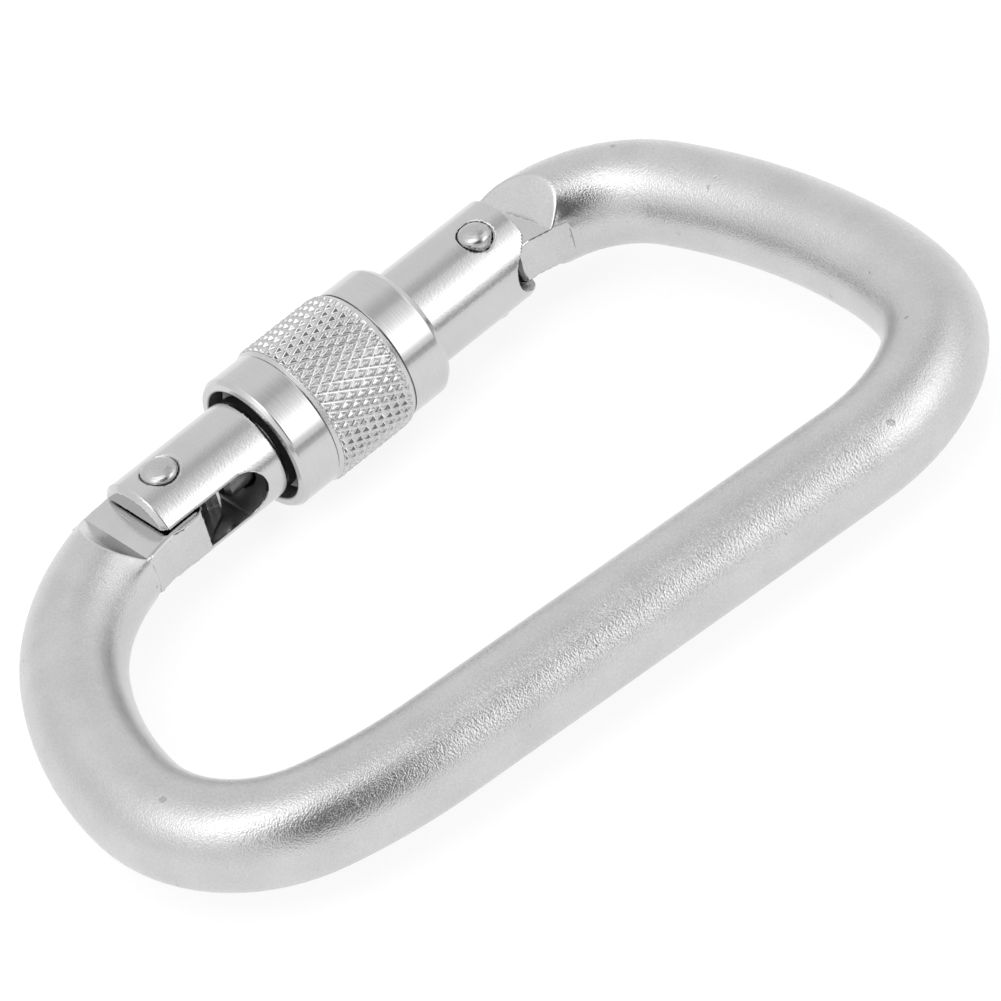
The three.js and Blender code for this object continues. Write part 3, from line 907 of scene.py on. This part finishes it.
def steel(name, light, dark, rough, grain_scale, stretch, relief, worn=False, painted_shade_inside=None):
    """Zinc plated steel: an even grey metal with fine grain and, where worn, nicks and scratches.

    The relief is the height of the fine grain in metres; a broader grain is added to it.
    Inside the "gate" or the "sleeve", as the last argument picks, the inner walls get painted shade:
    a darker colour and a little more roughness.
    """
    n = Nodes(name)
    n.shader.inputs["Metallic"].default_value = 1.0
    cloud = n.noise(160, detail=4.0)
    fine = n.noise(grain_scale, stretch=stretch, detail=2.0, roughness=0.6)
    tone = n.math("ADD", n.math("MULTIPLY", cloud, 0.5), n.math("MULTIPLY", fine, 0.5))
    colour = n.tint(n.range(tone, 0.36, 0.62, 0.0, 1.0), dark, light)
    rough_value = n.range(fine, 0.25, 0.75, rough * 0.8, rough * 1.2)
    coarse = n.noise(grain_scale * 0.35, stretch=stretch, detail=2.0)
    height = n.math("ADD", fine, n.math("MULTIPLY", coarse, 0.3))
    if worn:
        height = n.math("MULTIPLY", height, n.plain_bar())
    normal = n.bump(height, relief)
    if worn:
        pits = n.range(n.noise(620, detail=1.0, roughness=0.4), 0.765, 0.80, 0.0, 1.0)
        scratch = n.noise(900, detail=1.0, stretch=(2.6, 0.12, 1.0), turn=(0, 0.4, 0.6))
        scratches = n.range(scratch, 0.74, 0.80, 0.0, 0.35)
        mark = n.math("MAXIMUM", pits, scratches)
        colour = n.blend(colour, 0.36, n.math("MULTIPLY", mark, 0.6))
        normal = n.bump(n.math("SUBTRACT", 1.0, mark), 0.00004, normal)
    # painted shade: the inner walls of the gate or of the sleeve are darkened, as if shade fell in
    # them
    if painted_shade_inside:
        painted_shade = n.inside_gate() if painted_shade_inside == "gate" else n.inside_sleeve()
        colour = n.blend(colour, 0.30, painted_shade)
        rough_value = n.math("ADD", rough_value, n.math("MULTIPLY", painted_shade, 0.3))
    n.wire(colour, n.shader.inputs["Base Color"])
    n.wire(rough_value, n.shader.inputs["Roughness"])
    n.wire(normal, n.shader.inputs["Normal"])
    return n.material


def grey(value):
    return (value, value, value)


MATERIALS = {
    "frame_bar": steel(
        "satin_zinc_bar", grey(0.63), grey(0.54), 0.13, 5200, (1, 1, 1), 0.000055, worn=True
    ),
    "gate": steel(
        "smooth_zinc_gate",
        grey(0.62),
        grey(0.58),
        0.13,
        5200,
        (1.0, 0.7, 0.7),
        0.000012,
        # painted shade on the slot, pocket and bore walls
        painted_shade_inside="gate",
    ),
    "sleeve": steel(
        "turned_zinc_sleeve",
        grey(0.62),
        grey(0.58),
        0.14,
        4200,
        (1.6, 0.1, 0.1),
        0.000007,
        # painted shade in the bores
        painted_shade_inside="sleeve",
    ),
    "grip": steel("knurled_zinc_grip", grey(0.66), grey(0.57), 0.20, 4200, (1, 1, 1), 0.00002),
    "rivet": steel("rivet_steel", grey(0.55), grey(0.48), 0.18, 3600, (1, 1, 1), 0.00001),
    "plunger": steel("plunger_steel", grey(0.20), grey(0.14), 0.32, 4000, (1, 1, 1), 0.00001),
    "spring": steel("spring_wire", grey(0.45), grey(0.36), 0.28, 4000, (1, 1, 1), 0.00001),
}


def finish_piece(piece, body, node, material):
    piece.data.materials.clear()
    piece.data.materials.append(MATERIALS[material])
    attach(piece, body)
    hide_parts(node)
    return piece


hinge_head = rivet_head(HINGE_HEAD, HINGE_HEAD_TOP, HINGE_DOME)
latch_head = rivet_head(LATCH_HEAD, LATCH_HEAD_TOP, LATCH_DOME)
far_latch_head = rivet_head(LATCH_HEAD, FAR_LATCH_TOP, FAR_LATCH_DOME)

finish_piece(build_frame(), "frame", "frame_bar", "frame_bar")
finish_piece(build_gate(), "gate", "gate", "gate")
hinge_rivet = build_rivet("hinge_rivet_pin", 0, 0, hinge_head, hinge_head)
finish_piece(hinge_rivet, "gate", "hinge_rivet", "rivet")
latch_pin = build_rivet("latch_pin_rod", LATCH_X, LATCH_Y, latch_head, far_latch_head)
finish_piece(latch_pin, "gate", "latch_pin", "rivet")
finish_piece(build_plunger(), "plunger", "plunger", "plunger")
spring = finish_piece(build_spring(), "gate", "gate_spring", "spring")
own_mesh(spring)
finish_piece(build_core(), "sleeve", "sleeve_core", "sleeve")
finish_piece(build_front_ring(), "sleeve", "sleeve_front_ring", "sleeve")
finish_piece(build_grip(), "grip", "sleeve_grip", "grip")


# ------------------------------------------------------------------ camera, floor and light

LENS = 223.0
CAMERA_DISTANCE = 624.2
CAMERA_AZIMUTH = math.radians(-121.9)
CAMERA_ELEVATION = math.radians(42.31)
CAMERA_ROLL = math.radians(16.47)
CAMERA_AIM = Vector((1.78, -2.47, 0.0))

FLOOR_TONE = 0.26
FLOOR_GLOW = 0.80

ROOM_LIGHT = 0.92
# soft boxes and dark flags hung round the object: azimuth, elevation, roll, half width,
# half height, side softness and end softness in degrees, and what each adds to the light;
# these numbers and ROOM_LIGHT came out of a least-squares fit to the bar's tones in the photo
PATCHES = [
    ("key_box", -40, 31, -45, 21, 31, 5, 5, 0.34),
    ("key_wing", -57, 30, 27, 20, 11, 2, 10, 0.95),
    ("back_box", -160, 68, -37, 16, 23, 16, 17, 1.35),
    ("back_wing", 161, 50, -30, 38, 17, 25, 11, 0.17),
    ("side_flag", -104, 41, 13, 21, 28, 12, 10, -0.76),
    ("top_flag", -25, 69, -14, 34, 9, 2, 8, -0.31),
]


def build_camera():
    """A long lens above the spine side of the D, rolled so that the gate rises to the right."""
    ce, se = math.cos(CAMERA_ELEVATION), math.sin(CAMERA_ELEVATION)
    back = Vector((ce * math.cos(CAMERA_AZIMUTH), ce * math.sin(CAMERA_AZIMUTH), se))
    level = Vector((0, 0, 1)).cross(back).normalized()
    upright = back.cross(level)
    right = level * math.cos(CAMERA_ROLL) - upright * math.sin(CAMERA_ROLL)
    up = back.cross(right)
    data = bpy.data.cameras.new("camera")
    data.sensor_width = 36.0
    data.lens = LENS
    data.clip_end = 20.0
    camera = bpy.data.objects.new("camera", data)
    rotation = Matrix((right, up, back)).transposed().to_4x4()
    place = (CAMERA_AIM + back * CAMERA_DISTANCE) * MM
    camera.matrix_world = Matrix.Translation(place) @ rotation
    bpy.context.scene.collection.objects.link(camera)
    bpy.context.scene.camera = camera


def build_floor():
    """A wide pale sheet under the D that glows a little, so that its shadow stays faint."""
    size, rings = 6.0, 12
    points, faces = [(0.0, 0.0, cad_low[2])], []
    for k in range(rings):
        angle = 2 * math.pi * k / rings
        points.append((size * math.cos(angle), size * math.sin(angle), cad_low[2]))
        faces.append((0, k + 1, (k + 1) % rings + 1))
    mesh = bpy.data.meshes.new("floor")
    mesh.from_pydata(points, [], faces)
    material = bpy.data.materials.new("pale_floor")
    material.use_nodes = True
    shader = material.node_tree.nodes["Principled BSDF"]
    shader.inputs["Base Color"].default_value = (FLOOR_TONE, FLOOR_TONE, FLOOR_TONE, 1)
    shader.inputs["Roughness"].default_value = 1.0
    shader.inputs["Specular IOR Level"].default_value = 0.0
    shader.inputs["Emission Color"].default_value = (1, 1, 1, 1)
    shader.inputs["Emission Strength"].default_value = FLOOR_GLOW
    mesh.materials.append(material)
    floor = bpy.data.objects.new("floor", mesh)
    bpy.context.scene.collection.objects.link(floor)


def build_world():
    """A white room with soft boxes and flags, worked out from the direction of each ray."""
    world = bpy.data.worlds.new("studio")
    world.use_nodes = True
    tree = world.node_tree
    background = tree.nodes["Background"]
    coord = tree.nodes.new("ShaderNodeTexCoord")

    def link_or_set(socket, value):
        if isinstance(value, (int, float)):
            socket.default_value = value
        else:
            tree.links.new(value, socket)

    def calc(operation, a, b):
        node = tree.nodes.new("ShaderNodeMath")
        node.operation = operation
        link_or_set(node.inputs[0], a)
        link_or_set(node.inputs[1], b)
        return node.outputs[0]

    def dot(axis):
        node = tree.nodes.new("ShaderNodeVectorMath")
        node.operation = "DOT_PRODUCT"
        tree.links.new(coord.outputs["Generated"], node.inputs[0])
        node.inputs[1].default_value = axis
        return node.outputs["Value"]

    def edge(value, half, soft):
        node = tree.nodes.new("ShaderNodeMapRange")
        node.interpolation_type = "SMOOTHSTEP"
        node.inputs["From Min"].default_value = math.tan(math.radians(half + soft))
        node.inputs["From Max"].default_value = math.tan(math.radians(half - soft))
        tree.links.new(calc("ABSOLUTE", value, 0.0), node.inputs["Value"])
        return node.outputs[0]

    total = ROOM_LIGHT
    for name, azimuth, elevation, roll, half_w, half_h, soft_w, soft_h, gain in PATCHES:
        az, el = math.radians(azimuth), math.radians(elevation)
        centre = Vector((math.cos(el) * math.cos(az), math.cos(el) * math.sin(az), math.sin(el)))
        level = Vector((-math.sin(az), math.cos(az), 0))
        rise = centre.cross(level)
        turn = math.radians(roll)
        side = level * math.cos(turn) + rise * math.sin(turn)
        top = centre.cross(side)
        ahead = calc("MAXIMUM", dot(centre), 0.05)
        across = edge(calc("DIVIDE", dot(side), ahead), half_w, soft_w)
        along = edge(calc("DIVIDE", dot(top), ahead), half_h, soft_h)
        mask = calc("MULTIPLY", across, along)
        total = calc("ADD", total, calc("MULTIPLY", mask, gain))
    link_or_set(background.inputs["Strength"], calc("MAXIMUM", total, 0.02))
    background.inputs["Color"].default_value = (1, 1, 1, 1)
    bpy.context.scene.world = world


build_camera()
build_floor()
build_world()
bpy.context.scene.view_settings.view_transform = "Standard"
